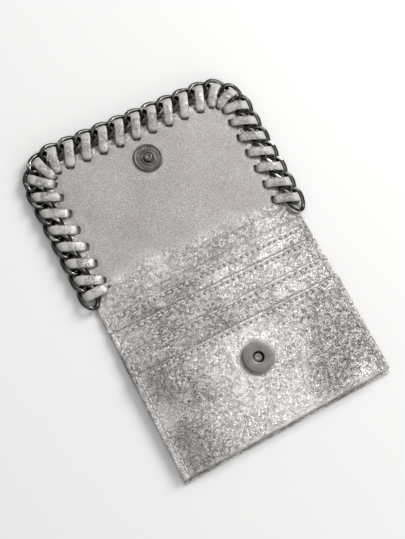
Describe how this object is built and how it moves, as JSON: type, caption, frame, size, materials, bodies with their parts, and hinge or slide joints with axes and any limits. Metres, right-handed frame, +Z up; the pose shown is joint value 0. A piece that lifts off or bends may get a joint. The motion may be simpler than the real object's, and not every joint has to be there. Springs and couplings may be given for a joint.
{
  "type": "chain wallet",
  "caption": "Small foiled-leather wallet: a pocket with card slots, and a flap edged with a laced curb chain, closed by a magnetic snap.",
  "frame": {"origin": "middle of the footprint of the open wallet, on the surface it lies on", "axes": "+X across the pocket, +Y from the pocket to the tip of the flap, +Z up out of the open inside"},
  "size_m": [0.117, 0.1634, 0.0087],
  "materials": {
    "foil_leather": "crackled pewter foil over leather",
    "lining_leather": "fine-grained metallic leather",
    "lace_leather": "crackled pewter foil over leather",
    "lining_fabric": "plain woven lining",
    "thread": "twisted polyester thread",
    "chain_metal": "polished gunmetal plate",
    "snap_metal": "satin gunmetal plate",
    "plated_steel": "nickel-plated steel",
    "magnet": "nickel-plated ring magnet"
  },
  "bodies": {
    "root": {"back_lining": "lining_fabric", "back_panel": "foil_leather", "card_panel": "foil_leather", "edge_stitches_a": "thread", "edge_stitches_b": "thread", "edge_stitches_c": "thread", "edge_stitches_d": "thread", "front_lining": "lining_fabric", "front_panel": "foil_leather", "pocket_snap_case": "snap_metal", "pocket_snap_core": "plated_steel", "pocket_snap_magnet": "magnet", "pocket_snap_prongs": "plated_steel", "pocket_snap_washer": "plated_steel", "side_stitches_left": "thread", "side_stitches_right": "thread", "slot_lining_b": "lining_fabric", "slot_lining_c": "lining_fabric", "slot_strip_b": "foil_leather", "slot_strip_c": "foil_leather"},
    "spine": {"spine_lining": "lining_leather", "spine_panel": "foil_leather"},
    "flap": {"chain_link_01": "chain_metal", "chain_link_02": "chain_metal", "chain_link_03": "chain_metal", "chain_link_04": "chain_metal", "chain_link_05": "chain_metal", "chain_link_06": "chain_metal", "chain_link_07": "chain_metal", "chain_link_08": "chain_metal", "chain_link_09": "chain_metal", "chain_link_10": "chain_metal", "chain_link_11": "chain_metal", "chain_link_12": "chain_metal", "chain_link_13": "chain_metal", "chain_link_14": "chain_metal", "chain_link_15": "chain_metal", "chain_link_16": "chain_metal", "chain_link_17": "chain_metal", "chain_link_18": "chain_metal", "chain_link_19": "chain_metal", "chain_link_20": "chain_metal", "chain_link_21": "chain_metal", "chain_link_22": "chain_metal", "chain_link_23": "chain_metal", "chain_link_24": "chain_metal", "chain_link_25": "chain_metal", "chain_link_26": "chain_metal", "chain_link_27": "chain_metal", "chain_link_28": "chain_metal", "edge_lace": "lace_leather", "flap_lining": "lining_leather", "flap_outer": "foil_leather", "flap_snap_disc": "snap_metal", "flap_snap_prongs": "plated_steel", "flap_snap_stub": "plated_steel", "flap_snap_washer": "plated_steel"}
  },
  "joints": [
    {"name": "spine_fold", "type": "hinge", "parent": "root", "child": "spine", "pos_m": [0, 0.00075, 0.00275], "axis": [1, 0, 0], "range_deg": [0, 90]},
    {"name": "flap_fold", "type": "hinge", "parent": "spine", "child": "flap", "pos_m": [0, 0.00775, 0.00275], "axis": [1, 0, 0], "range_deg": [0, 90]}
  ],
  "couplings": [
    {"joint": "spine_fold", "follows": "flap_fold", "ratio": 1}
  ]
}
